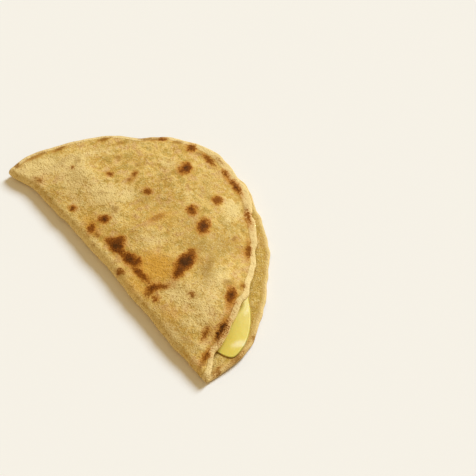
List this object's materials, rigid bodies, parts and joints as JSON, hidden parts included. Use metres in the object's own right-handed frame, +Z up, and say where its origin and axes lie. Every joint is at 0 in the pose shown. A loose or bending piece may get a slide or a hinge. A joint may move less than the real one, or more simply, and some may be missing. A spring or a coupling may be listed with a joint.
{
  "type": "quesadilla",
  "caption": "Folded flour tortilla quesadilla, a half moon with toasted spots, its rims pressed together and melted cheese showing at the open end.",
  "frame": {"origin": "under the middle of the whole quesadilla, on the surface that it rests on", "axes": "+X along the fold towards the open end, +Y from the fold towards the round rim, +Z up"},
  "size_m": [0.2022, 0.1072, 0.0135],
  "materials": {
    "tortilla": "toasted flour tortilla, matte, with brown spots",
    "cheese": "melted cheese, soft gloss"
  },
  "bodies": {
    "root": {"tortilla": "tortilla", "cheese": "cheese"}
  },
  "joints": []
}
